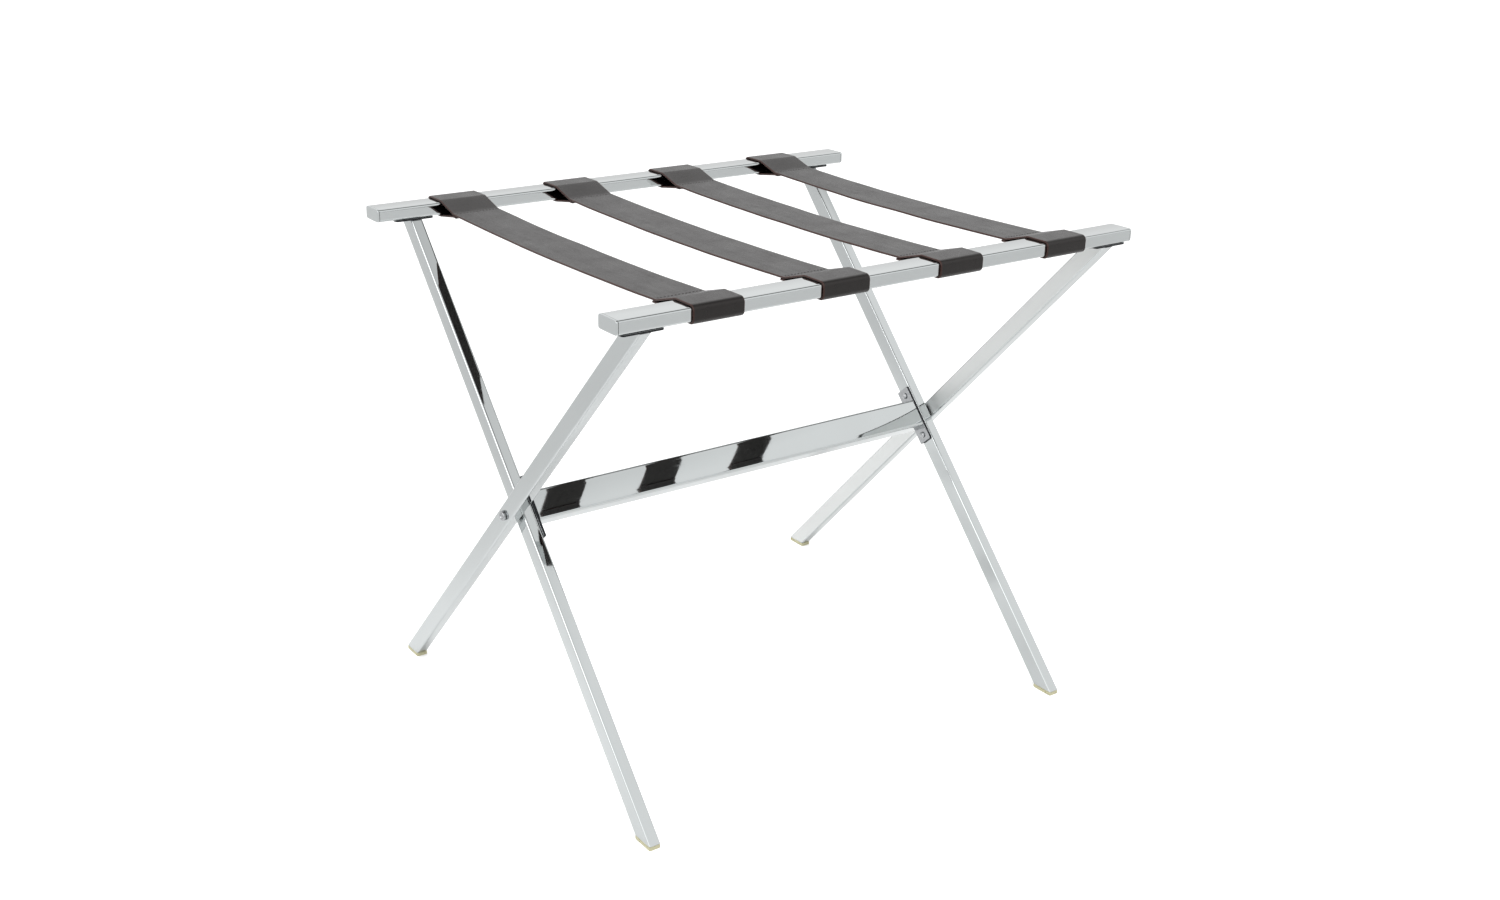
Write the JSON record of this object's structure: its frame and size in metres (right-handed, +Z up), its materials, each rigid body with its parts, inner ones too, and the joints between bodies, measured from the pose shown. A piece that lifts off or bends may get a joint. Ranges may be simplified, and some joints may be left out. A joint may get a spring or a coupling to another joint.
{
  "type": "folding luggage rack",
  "caption": "Open X-frame luggage rack in chrome-plated steel tube: top rails joined by dark leatherette straps, crossed legs that fold on one hinge line, a wide stretcher and clear feet.",
  "frame": {"origin": "on the floor, under the middle of the rack's outline", "axes": "+X along the rails, +Y from the front rail to the rear rail, +Z up"},
  "size_m": [0.61, 0.4872, 0.5183],
  "materials": {
    "tube_chrome": "bright chrome plate on steel tube",
    "cap_chrome": "bright chrome-plated end cap",
    "plate_chrome": "chrome-plated flat bar",
    "bolt_chrome": "polished domed head",
    "screw_steel": "bright zinc-plated cross-recess screw",
    "nut_zinc": "zinc-plated lock nut",
    "washer_nylon": "black nylon washer",
    "foot_plastic": "clear yellowish plastic glide",
    "strap_leatherette": "dark brown leatherette, satin, fine grain"
  },
  "bodies": {
    "outer_frame": {"front_rail": "tube_chrome", "front_rail_cap_left": "cap_chrome", "front_rail_cap_right": "cap_chrome", "front_leg_plate_left": "plate_chrome", "front_leg_plate_right": "plate_chrome", "front_plate_screw_left_inboard": "screw_steel", "front_plate_screw_left_outboard": "screw_steel", "front_plate_screw_right_inboard": "screw_steel", "front_plate_screw_right_outboard": "screw_steel", "outer_leg_left": "tube_chrome", "outer_leg_right": "tube_chrome", "outer_foot_left": "foot_plastic", "outer_foot_right": "foot_plastic", "pivot_bolt_left": "bolt_chrome", "pivot_bolt_right": "bolt_chrome", "pivot_washer_left": "washer_nylon", "pivot_washer_right": "washer_nylon", "pivot_nut_left": "nut_zinc", "pivot_nut_right": "nut_zinc", "strap_1_front_loop": "strap_leatherette", "strap_2_front_loop": "strap_leatherette", "strap_3_front_loop": "strap_leatherette", "strap_4_front_loop": "strap_leatherette", "strap_1_span": "strap_leatherette", "strap_2_span": "strap_leatherette", "strap_3_span": "strap_leatherette", "strap_4_span": "strap_leatherette"},
    "inner_frame": {"rear_rail": "tube_chrome", "rear_rail_cap_left": "cap_chrome", "rear_rail_cap_right": "cap_chrome", "rear_leg_plate_left": "plate_chrome", "rear_leg_plate_right": "plate_chrome", "rear_plate_screw_left_inboard": "screw_steel", "rear_plate_screw_left_outboard": "screw_steel", "rear_plate_screw_right_inboard": "screw_steel", "rear_plate_screw_right_outboard": "screw_steel", "inner_leg_left": "tube_chrome", "inner_leg_right": "tube_chrome", "inner_foot_left": "foot_plastic", "inner_foot_right": "foot_plastic", "stretcher_plate_left": "plate_chrome", "stretcher_plate_right": "plate_chrome", "stretcher_bar": "tube_chrome", "stretcher_screw_left_lower": "screw_steel", "stretcher_screw_left_upper": "screw_steel", "stretcher_screw_right_lower": "screw_steel", "stretcher_screw_right_upper": "screw_steel", "strap_1_rear_loop": "strap_leatherette", "strap_2_rear_loop": "strap_leatherette", "strap_3_rear_loop": "strap_leatherette", "strap_4_rear_loop": "strap_leatherette"}
  },
  "joints": [
    {"name": "fold", "type": "hinge", "parent": "outer_frame", "child": "inner_frame", "pos_m": [0, 0, 0.25235], "axis": [1, 0, 0], "range_deg": [0, 75], "deforming": ["strap_1_span", "strap_2_span", "strap_3_span", "strap_4_span"]}
  ]
}
